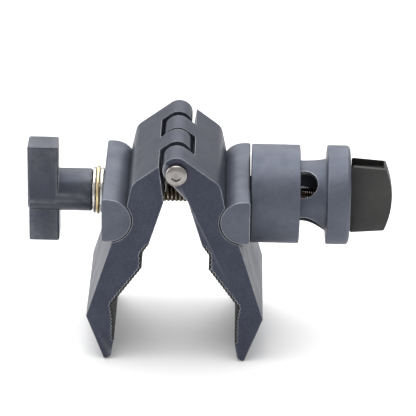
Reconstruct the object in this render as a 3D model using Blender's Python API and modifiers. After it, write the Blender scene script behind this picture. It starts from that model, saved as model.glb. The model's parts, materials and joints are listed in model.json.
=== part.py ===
"""Super clamp: two hinged jaws drawn together by a T-handle screw, with a stud receiver on one side."""

import bpy
import bmesh
from math import acos, atan2, ceil, cos, hypot, pi, radians, sin, sqrt, tan
from mathutils import Vector

# All sizes are in millimetres. X runs along the main screw, Y along the hinge pin, Z up.

# Jaws
JAW_DEPTH = 52.0          # front face to back face
JAW_REACH = 76.6          # hinge axis down to the tip's outer corner
# Corners of the jaw, out from and below the hinge axis
INNER_TOP = (4.36, 10.93)     # where the inner face starts
SHOULDER = (15.95, 4.16)      # between the roof and the cradle side
PAD_TOP = (9.9, 28.9)         # where the grip pad starts
PAD_STEP = (12.35, 32.6)
NOSE = (12.25, 38.2)
NOTCH = (23.2, 53.5)          # bottom of the V that holds a tube
LIP_X = 22.35
PAD_END_X = 22.4
TOE_X = 25.85                 # tip's outer corner
TOE_IN = (23.35, 1.7)         # tip's inner corner, and its height over the outer one
HEEL_X = 32.7                 # corner of the outer face
COLLAR_CLEAR = 1.06           # outer face to the collar's lower corner
TIP_LAND = 8.2                # plain land between the pad and the tip
SHOULDER_R = 5.0
HEEL_R = 1.8
EDGE_BEVEL = 0.3

# Hinge
KNUCKLE_R = 5.0
KNUCKLE_RISE = 1.6        # knuckle centre above the hinge axis
SPRING_GAP = 3.7          # room for a spring coil between two knuckles
CENTRE_GAP = 1.4          # plain gap between the two middle knuckles
WALL_GAP = 1.25           # knuckle to the end wall of its pocket
PIN_D = 5.0
HEAD_D = 8.35
HEAD_H = 2.1
NUT_AF = 8.0
NUT_H = 2.1

# Trunnion bars and main screw
BAR_X = 24.7              # bar centre out from the hinge axis
BAR_Z = -19.1             # bar centre, and the screw axis, below the hinge axis
BAR_R = 8.45
BAR_STRIP = 2.3           # flat side beyond the bar centre
CRADLE_GAP = 0.5
CRADLE_FROM = 40.0        # cradle arc's upper end, degrees above the screw axis
CRADLE_TO = -81.0         # cradle arc's lower end
SCREW_D = 8.0
SCREW_PITCH = 1.5
SCREW_PAST = 1.3          # tip beyond the right bar's flat
THREAD_FROM_X = -15.0
CLOSE_DEG = 15.0          # each jaw's travel inwards
OPEN_DEG = 3.5            # each jaw's travel outwards

# Pads
PAD_T = 0.5
PAD_GAP = 0.15
TOOTH_PITCH = 1.6
TOOTH_H = 0.6
RIB_H = 0.25

# Handle
HUB_D = 15.9
HUB_L = 23.75
WING_W = 11.3             # along the screw
WING_T = 10.4
WING_REACH = 20.5
WASHERS = ((1.2, 16.8), (1.1, 18.0), (1.1, 17.4))   # thickness and diameter, from the bar outwards

# Receiver
COLLAR_D = 36.7
COLLAR_L = 18.0
COLLAR_FLOOR = 3.6
NECK_D = 25.0
NECK_FLARE = 1.5          # growth of the neck's radius at the flange
RING_STAND = 2.3           # retaining ring beyond the neck
GROOVE_DEPTH = 1.2
POST_START = 4.3          # post's inner end beyond the collar's inner end
FLANGE_D = 36.9
FLANGE_L = 8.6
NECK_SHOWN = 9.9          # between the collar and the flange
RING_T = 1.2
RING_START = 1.2          # from the post's inner end
POST_TRAVEL = 8.0
STUD_LEAD = 1.3           # centre of both cross holes, out from the collar's rim
STUD_D = 16.6
STUD_TILT = 60.0          # large hole's axis below level, towards the front
STUD_FLOOR = 7.5          # large hole's floor beyond the post's axis
SPIGOT_D = 10.4
SPIGOT_TILT = 43.0        # small hole's axis above level, towards the front
CLAMP_D = 5.0
CLAMP_PITCH = 0.8
CLAMP_PAST = 3.2          # clamp screw's end beyond the holes' centre
TIP_L = 1.5

# Knob
KNOB_GAP = 0.5            # knob to flange
KNOB_D = 28.9
KNOB_END_D = 26.2
KNOB_L = 12.9
KNOB_DOME = 2.5
KNOB_T = 8.4
KNOB_WALL = 0.9           # each side of the hollow in the knob's narrow faces
KNOB_HOLLOW = 2.4
KNOB_RIM = 1.0

# Clearances
GAP = 0.3                 # between pieces that touch on the real object
WASHER_GAP = 0.25
BORE_GAP = 0.3            # radial, round a shaft

SCREW_HOLE_D = SCREW_D + 2 * BORE_GAP
KNUCKLE_W = (JAW_DEPTH - 2 * SPRING_GAP - CENTRE_GAP) / 4
FLAT_X = BAR_X + BAR_STRIP
CRADLE_R = BAR_R + CRADLE_GAP
COLLAR_X = FLAT_X + GAP
HANDLE_X = -(FLAT_X + sum(w[0] for w in WASHERS) + WASHER_GAP * (len(WASHERS) + 1))
HUB_END = HANDLE_X - HUB_L
SCREW_TIP_X = FLAT_X + SCREW_PAST
FLANGE_X = COLLAR_X + COLLAR_L + NECK_SHOWN
KNOB_X = FLANGE_X + FLANGE_L + KNOB_GAP
KNOB_TOP_X = KNOB_X + KNOB_L + KNOB_DOME
CHAMBER_D = NECK_D + 2 * (RING_STAND + 0.35)
CHAMBER_END = POST_START + RING_START + RING_T + POST_TRAVEL
COLLAR_SCREW_Y = (SCREW_HOLE_D / 2 + CHAMBER_D / 2) / 2 + 0.4
STUD_X = COLLAR_X + COLLAR_L + STUD_LEAD
CLAMP_TIP_X = STUD_X - CLAMP_PAST
CENTRE_X = (HUB_END + KNOB_TOP_X) / 2


def millimetres(*values):
    return tuple(v * 0.001 for v in values)


# Scene, collections, materials and empties

def clear_objects():
    for obj in list(bpy.data.objects):
        bpy.data.objects.remove(obj, do_unlink=True)


def new_collection(name):
    coll = bpy.data.collections.new(name)
    bpy.context.scene.collection.children.link(coll)
    return coll


def make_material(name, colour, roughness, metallic):
    mat = bpy.data.materials.new(name)
    mat.use_nodes = True
    shader = mat.node_tree.nodes["Principled BSDF"]
    shader.inputs["Base Color"].default_value = (*colour, 1.0)
    shader.inputs["Roughness"].default_value = roughness
    shader.inputs["Metallic"].default_value = metallic
    mat.diffuse_color = (*colour, 1.0)
    return mat


def make_empty(name, x, z, parent=None):
    """An empty at hinge coordinates x, z, in the middle of the depth."""
    empty = bpy.data.objects.new(name, None)
    empty.empty_display_size = 0.01
    PARTS.objects.link(empty)
    here = Vector(millimetres(x - CENTRE_X, 0, z + HINGE_Z))
    if parent:
        empty.parent = parent
        here = here - WHERE[parent.name]
    empty.location = here
    WHERE[name] = Vector(millimetres(x - CENTRE_X, 0, z + HINGE_Z))
    return empty


def finish(obj, colour, roughness, metallic, parent):
    obj.data.materials.append(make_material(obj.name, colour, roughness, metallic))
    obj.parent = parent
    return obj


# Outlines, as (x, z) lists

def arc(cx, cz, radius, start, end, step=9.0):
    count = max(2, ceil(abs(end - start) / step))
    angles = [radians(start + (end - start) * i / count) for i in range(count + 1)]
    return [(cx + radius * cos(a), cz + radius * sin(a)) for a in angles]


def rounded(before, corner, after, radius, step=14.0):
    """The corner between two straight edges, replaced by an arc."""
    a = Vector(before) - Vector(corner)
    b = Vector(after) - Vector(corner)
    a.normalize()
    b.normalize()
    half = acos(max(-1.0, min(1.0, a.dot(b)))) / 2
    centre = Vector(corner) + (a + b).normalized() * (radius / sin(half))
    start = Vector(corner) + a * (radius / tan(half)) - centre
    end = Vector(corner) + b * (radius / tan(half)) - centre
    first = atan2(start.y, start.x)
    turn = (atan2(end.y, end.x) - first + pi) % (2 * pi) - pi
    count = max(2, ceil(abs(turn) / radians(step)))
    angles = [first + turn * i / count for i in range(count + 1)]
    return [(centre.x + radius * cos(t), centre.y + radius * sin(t)) for t in angles]


def tangent(px, pz, cx, cz, radius, side):
    """Angle, in degrees, where the line from a point touches a circle."""
    base = atan2(pz - cz, px - cx)
    return (base + side * acos(radius / hypot(px - cx, pz - cz))) * 180 / pi


def offset_path(path, distance):
    """An open path moved to its left by a distance."""
    rows = [Vector(p) for p in path]
    normals = []
    for a, b in zip(rows, rows[1:]):
        d = (b - a).normalized()
        normals.append(Vector((-d.y, d.x)))
    moved = [rows[0] + normals[0] * distance]
    for i in range(1, len(rows) - 1):
        n = (normals[i - 1] + normals[i]).normalized()
        moved.append(rows[i] + n * (distance / n.dot(normals[i])))
    moved.append(rows[-1] + normals[-1] * distance)
    return [tuple(p) for p in moved]


def toothed(path, height):
    """A path with triangular teeth pointing to its left."""
    points = []
    for a, b in zip(path, path[1:]):
        start, end = Vector(a), Vector(b)
        run = end - start
        normal = Vector((-run.y, run.x)).normalized() * height
        count = max(1, round(run.length / TOOTH_PITCH))
        for i in range(count):
            points.append(tuple(start + run * (i / count)))
            points.append(tuple(start + run * ((i + 0.5) / count) + normal))
    points.append(tuple(path[-1]))
    return points


def grip_path(stretch=0.0):
    """The pad's gripping face on the right jaw, from the top down."""
    end = JAW_REACH - TIP_LAND
    lip = NOTCH[1] + 0.4 * (end - NOTCH[1])
    corners = (PAD_TOP, PAD_STEP, NOSE, NOTCH, (LIP_X, lip), (PAD_END_X, end))
    path = [Vector((x, -drop)) for x, drop in corners]
    first = (path[0] - path[1]).normalized() * stretch
    last = (path[-1] - path[-2]).normalized() * stretch
    path[0] = path[0] + first
    path[-1] = path[-1] + last
    return [tuple(p) for p in path]


def pad_seat():
    """The toothed seat in the jaw that the pad lies in, from the top down."""
    path = grip_path(PAD_GAP)
    base = offset_path(path, PAD_T + PAD_GAP)
    return [path[0]] + toothed(base, TOOTH_H) + [path[-1]]


def pad_outline():
    face = toothed(grip_path(), RIB_H)
    back = toothed(offset_path(grip_path(), PAD_T), TOOTH_H)
    return face + back[::-1]


def jaw_outline():
    """The right jaw, round from under its knuckle and over the top."""
    low = tangent(INNER_TOP[0], -INNER_TOP[1], 0, KNUCKLE_RISE, KNUCKLE_R, -1)
    high = tangent(SHOULDER[0], -SHOULDER[1], 0, KNUCKLE_RISE, KNUCKLE_R, 1)
    knuckle = arc(0, KNUCKLE_RISE, KNUCKLE_R, low + 360, high)
    cradle = arc(BAR_X, BAR_Z, CRADLE_R, 180 - CRADLE_FROM, 180 - CRADLE_TO)
    shoulder = rounded(knuckle[-1], (SHOULDER[0], -SHOULDER[1]), cradle[0], SHOULDER_R)
    foot = cradle[-1]
    fall = (BAR_Z - COLLAR_D / 2 - foot[1]) / (COLLAR_X - COLLAR_CLEAR - foot[0])
    heel = (HEEL_X, foot[1] + (HEEL_X - foot[0]) * fall)
    toe = (TOE_X, -JAW_REACH)
    toe_in = (TOE_IN[0], TOE_IN[1] - JAW_REACH)
    seat = pad_seat()
    outer = rounded(cradle[-1], heel, toe, HEEL_R)
    tip = rounded(heel, toe, toe_in, 1.0) + rounded(toe, toe_in, seat[-1], 1.4)
    inner = rounded(seat[0], (INNER_TOP[0], -INNER_TOP[1]), knuckle[0], 0.5)
    return knuckle + shoulder + cradle + outer + tip + seat[::-1] + inner


HINGE_Z = -min(p[1] for p in jaw_outline())


def mirrored(points):
    return [(-x, z) for x, z in points][::-1]


def shifted(points, dx, dz):
    return [(x + dx, z + dz) for x, z in points]


# Solids

def plate(name, points, y_from, y_to, coll, pivot=(0, 0)):
    """A flat outline given from the pivot, extruded along Y between two depths."""
    curve = bpy.data.curves.new(name, "CURVE")
    curve.dimensions = "2D"
    curve.fill_mode = "BOTH"
    curve.extrude = abs(y_to - y_from) * 0.0005
    spline = curve.splines.new("POLY")
    spline.points.add(len(points) - 1)
    for target, (x, z) in zip(spline.points, points):
        target.co = (x * 0.001, z * 0.001, 0, 1)
    spline.use_cyclic_u = True
    flat = bpy.data.objects.new(name, curve)
    coll.objects.link(flat)
    flat.rotation_euler = (pi / 2, 0, 0)
    mesh = bpy.data.meshes.new_from_object(flat)
    bpy.data.objects.remove(flat, do_unlink=True)
    bpy.data.curves.remove(curve)
    shape = bmesh.new()
    shape.from_mesh(mesh)
    bmesh.ops.remove_doubles(shape, verts=shape.verts, dist=1e-6)
    bmesh.ops.recalc_face_normals(shape, faces=shape.faces)
    shape.to_mesh(mesh)
    shape.free()
    mesh.name = name
    solid = bpy.data.objects.new(name, mesh)
    solid.rotation_euler = (pi / 2, 0, 0)
    solid.location = millimetres(pivot[0], (y_from + y_to) / 2, pivot[1])
    coll.objects.link(solid)
    return solid


def turned(name, profile, steps, coll, x=0.0, y=0.0, z=0.0, axis="X", closed=False):
    """A profile of (radius, distance) points, spun round the X or Y axis."""
    mesh = bpy.data.meshes.new(name)
    edges = [(i, i + 1) for i in range(len(profile) - 1)]
    if closed:
        edges.append((len(profile) - 1, 0))
    mesh.from_pydata([millimetres(r, 0, d) for r, d in profile], edges, [])
    solid = bpy.data.objects.new(name, mesh)
    coll.objects.link(solid)
    screw = solid.modifiers.new("Turn", "SCREW")
    screw.axis = "Z"
    screw.angle = 2 * pi
    screw.steps = steps
    screw.render_steps = steps
    screw.use_merge_vertices = True
    screw.merge_threshold = 1e-6
    screw.use_smooth_shade = True
    solid.rotation_euler = (0, pi / 2, 0) if axis == "X" else (-pi / 2, 0, 0)
    solid.location = millimetres(x, y, z)
    return solid


def rod(name, radius, length, steps, coll):
    """A plain cylinder or prism from the origin along local Z."""
    mesh = bpy.data.meshes.new(name)
    shape = bmesh.new()
    bmesh.ops.create_cone(shape, cap_ends=True, segments=steps, radius1=radius * 0.001,
                          radius2=radius * 0.001, depth=length * 0.001)
    bmesh.ops.translate(shape, verts=shape.verts, vec=millimetres(0, 0, length / 2))
    shape.to_mesh(mesh)
    shape.free()
    solid = bpy.data.objects.new(name, mesh)
    coll.objects.link(solid)
    return solid


def rod_along(name, radius, length, steps, axis, x, y, z):
    """A cutter rod that starts at a point and runs along +X or +Y."""
    solid = rod(name, radius, length, steps, CUTTERS)
    solid.rotation_euler = (0, pi / 2, 0) if axis == "X" else (-pi / 2, 0, 0)
    solid.location = millimetres(x, y, z)
    return solid


def block(name, low, high, coll, bevel=0.0):
    mesh = bpy.data.meshes.new(name)
    shape = bmesh.new()
    bmesh.ops.create_cube(shape, size=1.0)
    size = [h - l for l, h in zip(low, high)]
    bmesh.ops.scale(shape, verts=shape.verts, vec=millimetres(*size))
    shape.to_mesh(mesh)
    shape.free()
    solid = bpy.data.objects.new(name, mesh)
    solid.location = millimetres(*[(l + h) / 2 for l, h in zip(low, high)])
    coll.objects.link(solid)
    if bevel:
        add_bevel(solid, bevel, 2)
    return solid


def add_bevel(solid, width, segments=1, angle=35.0):
    bevel = solid.modifiers.new("Edge", "BEVEL")
    bevel.width = width * 0.001
    bevel.segments = segments
    bevel.limit_method = "ANGLE"
    bevel.angle_limit = radians(angle)
    return bevel


def bevel_rims(solid, keep_sharp, width):
    """Bevel the front and back rims, except along the listed outline points."""
    mesh = solid.data
    sharp = {(round(x, 2), round(z, 2)) for x, z in keep_sharp}
    depth = max(v.co.z for v in mesh.vertices)
    weights = mesh.attributes.new("bevel_weight_edge", "FLOAT", "EDGE")
    for edge in mesh.edges:
        ends = [mesh.vertices[i].co for i in edge.vertices]
        flat = all(abs(e.z - ends[0].z) < 1e-7 and abs(abs(e.z) - depth) < 1e-6 for e in ends)
        plain = all((round(e.x * 1000, 2), round(e.y * 1000, 2)) not in sharp for e in ends)
        weights.data[edge.index].value = 1.0 if flat and plain and is_rim(mesh, edge) else 0.0
    bevel = solid.modifiers.new("Edge", "BEVEL")
    bevel.width = width * 0.001
    bevel.segments = 1
    bevel.limit_method = "WEIGHT"


def is_rim(mesh, edge):
    """Whether a cap edge also borders a side face."""
    key = edge.key
    for polygon in mesh.polygons:
        if abs(polygon.normal.z) < 0.5 and key in polygon.edge_keys:
            return True
    return False


def cut(solid, cutter, operation="DIFFERENCE"):
    boolean = solid.modifiers.new(cutter.name, "BOOLEAN")
    boolean.solver = "EXACT"
    boolean.operation = operation
    boolean.object = cutter
    cutter.hide_render = True
    cutter.display_type = "WIRE"


def place(cutter, x, z):
    """Move a cutter made in hinge coordinates to where the assembly stands."""
    cutter.location = cutter.location + Vector(millimetres(x - CENTRE_X, 0, z + HINGE_Z))
    return cutter


# Sub-parts

def pocket_cutter(name, side, y_from, y_to):
    """Room in one jaw for the other jaw's knuckle."""
    foot = Vector((INNER_TOP[0] + 0.22, -INNER_TOP[1]))
    head = Vector((KNUCKLE_R + WALL_GAP, KNUCKLE_RISE + 0.5))
    run = (head - foot).normalized()
    low = foot - run * 5.0
    high = head + run * 7.0
    points = [tuple(low), tuple(high), (-14.0, high.y), (-14.0, low.y)]
    if side < 0:
        points = mirrored(points)
    return place(plate(name, points, y_from, y_to, CUTTERS), 0, 0)


def screw_slot_cutter(name, side):
    """Room for the main screw as the jaw swings round its bar."""
    half = SCREW_D / 2 + 0.5
    reach = BAR_X - 1.0
    points = [(2.0, half), (2.0, -half),
              (-reach, -half - reach * tan(radians(CLOSE_DEG + 1))),
              (-reach, half + reach * tan(radians(OPEN_DEG + 1)))]
    points = shifted(points, BAR_X, BAR_Z)
    if side < 0:
        points = mirrored(points)
    return place(plate(name, points, -half, half, CUTTERS), 0, 0)


def jaw(name, side, pivot):
    """One jaw, hinged at its bar's centre or at the pin."""
    centre = (BAR_X, BAR_Z) if side > 0 else (0, 0)
    points = jaw_outline()
    seat = pad_seat()
    if side < 0:
        points = mirrored(points)
        seat = mirrored(seat)
    points = shifted(points, -centre[0], -centre[1])
    seat = shifted(seat, -centre[0], -centre[1])
    solid = plate(name, points, -JAW_DEPTH / 2, JAW_DEPTH / 2, PARTS)
    bevel_rims(solid, seat, EDGE_BEVEL)
    near = CENTRE_GAP / 2
    far = near + KNUCKLE_W
    out = far + SPRING_GAP
    edge = JAW_DEPTH / 2 + 1.0
    rooms = ((-out, near), (far, edge)) if side > 0 else ((-edge, -far), (-near, out))
    for i, (y_from, y_to) in enumerate(rooms):
        cut(solid, pocket_cutter(f"{name}_pocket_{i + 1}", side, y_from, y_to))
    pin = rod_along(f"{name}_pin_hole", PIN_D / 2 + BORE_GAP, 2 * edge, 32, "Y", 0, -edge, 0)
    cut(solid, place(pin, 0, 0))
    cut(solid, screw_slot_cutter(f"{name}_screw_slot", side))
    return finish(solid, (0.075, 0.08, 0.10), 0.45, 0.85, pivot)


def pad(name, side, pivot):
    centre = (BAR_X, BAR_Z) if side > 0 else (0, 0)
    points = pad_outline() if side > 0 else mirrored(pad_outline())
    points = shifted(points, -centre[0], -centre[1])
    solid = plate(name, points, -JAW_DEPTH / 2, JAW_DEPTH / 2, PARTS)
    return finish(solid, (0.012, 0.012, 0.013), 0.75, 0.0, pivot)


def hinge_screw(pivot):
    """Button-head screw with a hex socket, its head on the front knuckle."""
    front = JAW_DEPTH / 2 + GAP
    back = JAW_DEPTH / 2 + GAP + NUT_H
    r = HEAD_D / 2
    profile = [(0, back), (PIN_D / 2 - 0.5, back), (PIN_D / 2, back - 0.5), (PIN_D / 2, -front),
               (r, -front), (r, -front - 0.9)]
    profile += [(r * cos(radians(a)), -front - 0.9 - (HEAD_H - 0.9) * sin(radians(a))) for a in (18, 36, 52)]
    profile += [(2.1, -front - HEAD_H)]
    profile += [(0, -front - HEAD_H)]
    solid = turned("hinge_screw", profile, 32, PARTS, axis="Y")
    socket = rod_along("hinge_screw_socket", 1.75, 1.6, 6, "Y", 0, -front - HEAD_H - 0.2, 0)
    cut(solid, place(socket, 0, 0))
    return finish(solid, (0.62, 0.6, 0.57), 0.16, 1.0, pivot)


def hinge_nut(pivot):
    """Thin hex nut on the back knuckle."""
    solid = rod("hinge_nut", NUT_AF / sqrt(3), NUT_H, 6, PARTS)
    solid.rotation_euler = (-pi / 2, 0, 0)
    solid.location = millimetres(0, JAW_DEPTH / 2 + GAP, 0)
    hole = rod_along("hinge_nut_hole", PIN_D / 2 + 0.15, NUT_H + 2, 32, "Y", 0, JAW_DEPTH / 2 - 0.7, 0)
    cut(solid, place(hole, 0, 0))
    return finish(solid, (0.6, 0.58, 0.55), 0.2, 1.0, pivot)


def hinge_spring(name, side, pivot):
    """Torsion spring in the gap between two knuckles, one leg down the left jaw."""
    wire = 0.4
    radius = 4.0
    turns = 2.5
    pitch = 1.0
    middle = side * (CENTRE_GAP / 2 + KNUCKLE_W + SPRING_GAP / 2)
    start = middle - turns * pitch / 2
    points = [(-radius, start, -INNER_TOP[1] - 1.3), (-radius, start, -3.0)]
    count = int(turns * 12)
    for i in range(count + 1):
        angle = pi - 2 * pi * turns * i / count
        points.append((radius * cos(angle), start + turns * pitch * i / count, radius * sin(angle)))
    points.append((radius, start + turns * pitch, -2.6))
    curve = bpy.data.curves.new(name, "CURVE")
    curve.dimensions = "3D"
    curve.bevel_depth = wire * 0.001
    curve.bevel_resolution = 1
    curve.use_fill_caps = True
    spline = curve.splines.new("POLY")
    spline.points.add(len(points) - 1)
    for target, place_at in zip(spline.points, points):
        target.co = (*millimetres(*place_at), 1)
    solid = bpy.data.objects.new(name, curve)
    PARTS.objects.link(solid)
    return finish(solid, (0.6, 0.58, 0.54), 0.25, 1.0, pivot)


def bar(name, side, pivot):
    """Half-round bar that seats in a jaw's cradle and carries the screw."""
    corner = 0.9
    points = [(0, BAR_R)] + rounded((0, BAR_R), (BAR_STRIP, BAR_R), (BAR_STRIP, -BAR_R), corner)
    points += rounded((BAR_STRIP, BAR_R), (BAR_STRIP, -BAR_R), (0, -BAR_R), corner)
    points += arc(0, 0, BAR_R, -90, -270, 7.5)[:-1]
    if side < 0:
        points = mirrored(points)
    solid = plate(name, points, -JAW_DEPTH / 2, JAW_DEPTH / 2, PARTS)
    bevel_rims(solid, [], EDGE_BEVEL)
    hole = rod_along(f"{name}_screw_hole", SCREW_HOLE_D / 2, 2 * BAR_R + 8, 32, "X", -BAR_R - 4, 0, 0)
    cut(solid, place(hole, side * BAR_X, BAR_Z))
    return finish(solid, (0.10, 0.105, 0.13), 0.4, 0.85, pivot)


def collar_screw_holes(solid, y):
    """Counterbored hole through the right bar for one collar screw."""
    head = rod_along(f"bar_counterbore_{'front' if y < 0 else 'back'}", 3.8, 7.0, 24, "X",
                     BAR_X - BAR_R - 1.0, y, BAR_Z)
    shank = rod_along(f"bar_screw_hole_{'front' if y < 0 else 'back'}", 2.3, 14.0, 20, "X",
                      BAR_X - BAR_R + 3.0, y, BAR_Z)
    cut(solid, place(head, 0, 0))
    cut(solid, place(shank, 0, 0))


def collar_screw(name, y, pivot):
    """Cap screw from the bar's round side into the collar's floor."""
    start = -BAR_R + 1.6
    end = BAR_STRIP + GAP + COLLAR_FLOOR - 0.4
    profile = [(0, end), (1.6, end), (2.0, end - 0.4), (2.0, start + 4.0), (3.5, start + 4.0),
               (3.5, start + 0.3), (3.2, start), (0, start)]
    solid = turned(name, profile, 20, PARTS, y=y)
    socket = rod_along(f"{name}_socket", 1.7, 2.4, 6, "X", BAR_X + start - 0.4, y, BAR_Z)
    cut(solid, place(socket, 0, 0))
    return finish(solid, (0.05, 0.05, 0.05), 0.4, 1.0, pivot)


def collar(pivot):
    r = COLLAR_D / 2
    hole = SCREW_HOLE_D / 2 + 0.3
    chamber = CHAMBER_D / 2
    mouth = NECK_D / 2 + 0.25
    step = CHAMBER_END + 0.3
    profile = [(mouth + 0.3, COLLAR_L), (r - 0.8, COLLAR_L), (r - 0.25, COLLAR_L - 0.25), (r, COLLAR_L - 0.8),
               (r, 0.5), (r - 0.5, 0), (hole, 0), (hole, COLLAR_FLOOR), (chamber, COLLAR_FLOOR),
               (chamber, step), (mouth, step), (mouth, COLLAR_L - 0.3)]
    solid = turned("receiver_collar", profile, 40, PARTS, x=COLLAR_X - BAR_X, closed=True)
    for y in (-COLLAR_SCREW_Y, COLLAR_SCREW_Y):
        hole = rod_along(f"collar_screw_hole_{'front' if y < 0 else 'back'}", 2.25, COLLAR_FLOOR + 2, 20,
                         "X", COLLAR_X - 1.0, y, BAR_Z)
        cut(solid, place(hole, 0, 0))
    return finish(solid, (0.10, 0.105, 0.13), 0.4, 0.85, pivot)


def ring_profile(inner, outer, length, chamfer=0.15):
    return [(outer - chamfer, length), (outer, length - chamfer), (outer, chamfer), (outer - chamfer, 0),
            (inner, 0), (inner, length)]


def threaded(radius, pitch, start, end, depth):
    """Rings along a shaft from its far end down to where the thread starts."""
    count = int((end - start) / pitch)
    points = [(0, end), (radius - depth, end)]
    for i in range(count):
        top = end - i * pitch
        points.append((radius, top - pitch * 0.5))
        points.append((radius - depth, top - pitch))
    return points


def main_screw(pivot):
    """Main screw; its thread is drawn as rings so that it can turn in the bar."""
    inner_end = HUB_END + 4.6
    points = threaded(SCREW_D / 2, SCREW_PITCH, THREAD_FROM_X, SCREW_TIP_X, 0.55)
    points += [(SCREW_D / 2, points[-1][1] - 0.6), (SCREW_D / 2, inner_end + 0.5),
               (SCREW_D / 2 - 0.5, inner_end), (0, inner_end)]
    profile = [(r, d - HANDLE_X) for r, d in points]
    solid = turned("main_screw", profile, 16, PARTS)
    return finish(solid, (0.5, 0.47, 0.43), 0.3, 1.0, pivot)


def thrust_washer(name, index, colour, roughness, pivot):
    x = -FLAT_X - WASHER_GAP
    for thickness, _ in WASHERS[:index]:
        x -= thickness + WASHER_GAP
    thickness, diameter = WASHERS[index]
    profile = ring_profile(SCREW_HOLE_D / 2, diameter / 2, thickness)
    solid = turned(name, profile, 32, PARTS, x=x - thickness + BAR_X, closed=True)
    return finish(solid, colour, roughness, 1.0, pivot)


def t_handle(pivot):
    """Hub with two offset wings, the upper one flush with its front and the lower with its back."""
    r = HUB_D / 2
    length = HANDLE_X - HUB_END
    profile = [(0, 0), (r - 0.7, 0), (r - 0.2, -0.2), (r, -0.7), (r, 0.6 - length), (r - 0.6, -length),
               (0, -length)]
    solid = turned("t_handle", profile, 48, PARTS)
    left = HUB_END + 0.02
    upper = block("wing_upper", (left, -r, -2.5), (left + WING_W, WING_T - r, WING_REACH), CUTTERS, 0.8)
    lower = block("wing_lower", (left, r - WING_T, -WING_REACH), (left + WING_W, r, 2.5), CUTTERS, 0.8)
    cut(solid, place(upper, 0, BAR_Z), "UNION")
    cut(solid, place(lower, 0, BAR_Z), "UNION")
    depth = HANDLE_X - HUB_END - 4.3
    bore = rod_along("handle_bore", SCREW_HOLE_D / 2, depth + 2.0, 32, "X", HANDLE_X - depth, 0, BAR_Z)
    cut(solid, place(bore, 0, 0))
    grub = rod_along("handle_grub_hole", 2.3, 8.0, 20, "Y", HANDLE_X - 6.5, SCREW_D / 2 - 1.0, BAR_Z)
    cut(solid, place(grub, 0, 0))
    return finish(solid, (0.075, 0.08, 0.10), 0.42, 0.85, pivot)


def handle_set_screw(pivot):
    """Grub screw in the back of the hub, against the main screw."""
    start = SCREW_D / 2 + GAP
    length = HUB_D / 2 - start - 0.5
    solid = turned("handle_set_screw", [(0, length), (1.7, length), (2.0, length - 0.3), (2.0, 0.3), (1.7, 0), (0, 0)],
                   20, PARTS, x=-6.5, y=start, axis="Y")
    socket = rod_along("handle_set_screw_socket", 1.15, 1.6, 6, "Y", HANDLE_X - 6.5, start + length - 1.2, BAR_Z)
    cut(solid, place(socket, 0, 0))
    return finish(solid, (0.04, 0.04, 0.04), 0.45, 1.0, pivot)


def receiver_post(pivot):
    """Post with a blind stud hole and a spigot hole through it, flaring into its flange."""
    x0 = COLLAR_X + POST_START
    neck = NECK_D / 2
    r = FLANGE_D / 2
    end = FLANGE_X + FLANGE_L - x0
    face = FLANGE_X - x0
    groove = (RING_START - 0.25, RING_START + RING_T + 0.25)
    flare = min(NECK_FLARE, 0.6 * (r - 1.0 - neck))
    profile = [(0, end), (r - 1.7, end), (r - 0.8, end - 0.35), (r - 0.2, end - 1.1), (r, end - 1.9),
               (r, face + 0.6), (r - 0.5, face + 0.1), (r - 1.0, face),
               (neck + flare, face), (neck + 0.65 * flare, face - 0.35), (neck + 0.44 * flare, face - 1.1),
               (neck + 0.29 * flare, face - 2.4), (neck + 0.15 * flare, face - 4.2),
               (neck + 0.05 * flare, face - 6.4), (neck, face - 9.0),
               (neck, groove[1]), (neck - GROOVE_DEPTH, groove[1]), (neck - GROOVE_DEPTH, groove[0]),
               (neck, groove[0]), (neck, 0.4), (neck - 0.4, 0), (0, 0)]
    solid = turned("receiver_post", profile, 40, PARTS)
    for name, diameter, tilt, past in (("stud_hole", STUD_D, -STUD_TILT, STUD_FLOOR),
                                       ("spigot_hole", SPIGOT_D, SPIGOT_TILT, NECK_D)):
        hole = rod(name, diameter / 2, past + FLANGE_D, 36, CUTTERS)
        way = Vector((0, -cos(radians(tilt)), sin(radians(tilt))))
        hole.rotation_euler = way.to_track_quat("Z", "X").to_euler()
        hole.location = Vector(millimetres(STUD_X, 0, BAR_Z)) - way * past * 0.001
        cut(solid, place(hole, 0, 0))
    bore = rod_along("post_screw_bore", SCREW_HOLE_D / 2 + 0.4, STUD_X - x0 + 4.0, 32, "X", x0 - 1.0, 0, BAR_Z)
    cut(solid, place(bore, 0, 0))
    thread = rod_along("post_clamp_bore", CLAMP_D / 2 + 0.25, 30.0, 28, "X", STUD_X - 1.5, 0, BAR_Z)
    cut(solid, place(thread, 0, 0))
    return finish(solid, (0.10, 0.105, 0.13), 0.4, 0.85, pivot)


def retaining_ring(pivot):
    """Ring in the post's groove that stops it leaving the collar."""
    x0 = COLLAR_X + POST_START
    inner = NECK_D / 2 - GROOVE_DEPTH + 0.25
    outer = NECK_D / 2 + RING_STAND
    solid = turned("post_retaining_ring", ring_profile(inner, outer, RING_T), 32, PARTS, x=RING_START, closed=True)
    low = (x0 + RING_START - 1, -1.6, BAR_Z - CHAMBER_D)
    high = (x0 + RING_START + RING_T + 1, 1.6, BAR_Z)
    gap = block("ring_split", low, high, CUTTERS)
    cut(solid, place(gap, 0, 0))
    return finish(solid, (0.3, 0.3, 0.3), 0.35, 1.0, pivot)


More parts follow.
